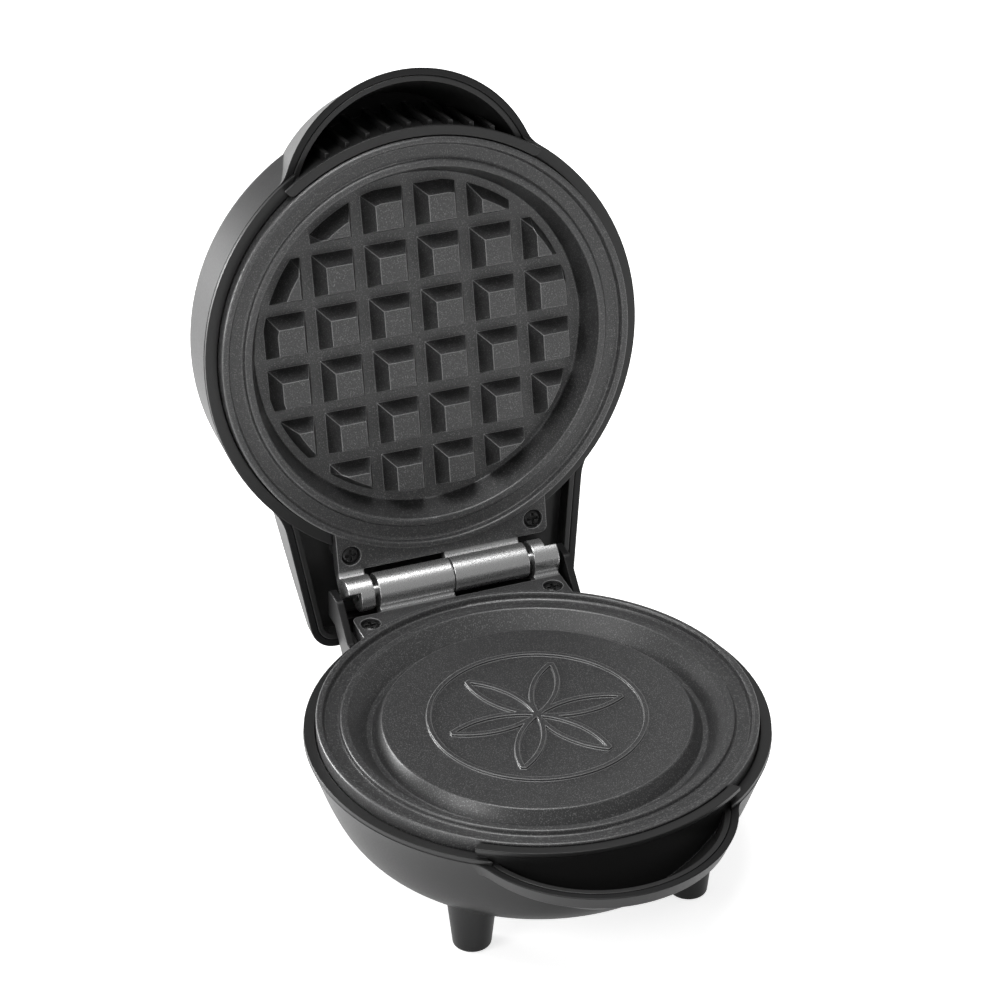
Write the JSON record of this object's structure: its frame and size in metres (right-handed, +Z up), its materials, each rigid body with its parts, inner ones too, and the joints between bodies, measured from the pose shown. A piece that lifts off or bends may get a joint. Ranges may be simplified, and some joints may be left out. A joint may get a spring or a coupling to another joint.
{
  "type": "mini waffle maker",
  "caption": "Dark grey round mini waffle maker standing open on four legs, with a gridded lid plate and a dished base plate joined by a pinned hinge.",
  "frame": {"origin": "on the ground, under the middle of the open waffle maker's bounding box", "axes": "+X to the user's right along the hinge pin, +Y from the grips at the front towards the hinge, +Z up"},
  "size_m": [0.1276, 0.2018, 0.1922],
  "materials": {
    "shell_plastic": "satin",
    "frame_plastic": "satin",
    "nonstick_coating": "semi-gloss speckled non-stick",
    "black_screws": "satin",
    "element_steel": "satin",
    "reflector_aluminium": "bright",
    "electric_white": "matte",
    "gland_rubber": "matte",
    "pin_steel": "satin",
    "pad_rubber": "matte",
    "lens_plastic": "gloss",
    "lamp_glass": "gloss"
  },
  "bodies": {
    "base": {"base_shell": "shell_plastic", "base_inner_frame": "frame_plastic", "base_plate": "nonstick_coating", "base_plate_screws": "black_screws", "base_heating_element": "element_steel", "base_reflector": "reflector_aluminium", "base_reflector_screw": "black_screws", "thermostat": "element_steel", "thermal_fuse": "electric_white", "terminal_block": "electric_white", "cord_gland": "gland_rubber", "leg_screws": "black_screws", "hinge_pin": "pin_steel", "foot_pad_front_left": "pad_rubber", "foot_pad_front_right": "pad_rubber", "foot_pad_rear_left": "pad_rubber", "foot_pad_rear_right": "pad_rubber"},
    "lid": {"lid_shell": "shell_plastic", "lid_inner_frame": "frame_plastic", "lid_plate": "nonstick_coating", "lid_plate_screws": "black_screws", "lid_heating_element": "element_steel", "lid_reflector": "reflector_aluminium", "lid_reflector_screw": "black_screws", "lid_frame_screws": "black_screws", "indicator_lens": "lens_plastic", "indicator_lamp": "lamp_glass"}
  },
  "joints": [
    {"name": "lid_hinge", "type": "hinge", "parent": "base", "child": "lid", "pos_m": [0, 0.04607, 0.0489], "axis": [-1, 0, 0], "range_deg": [-100.2, 0]}
  ]
}
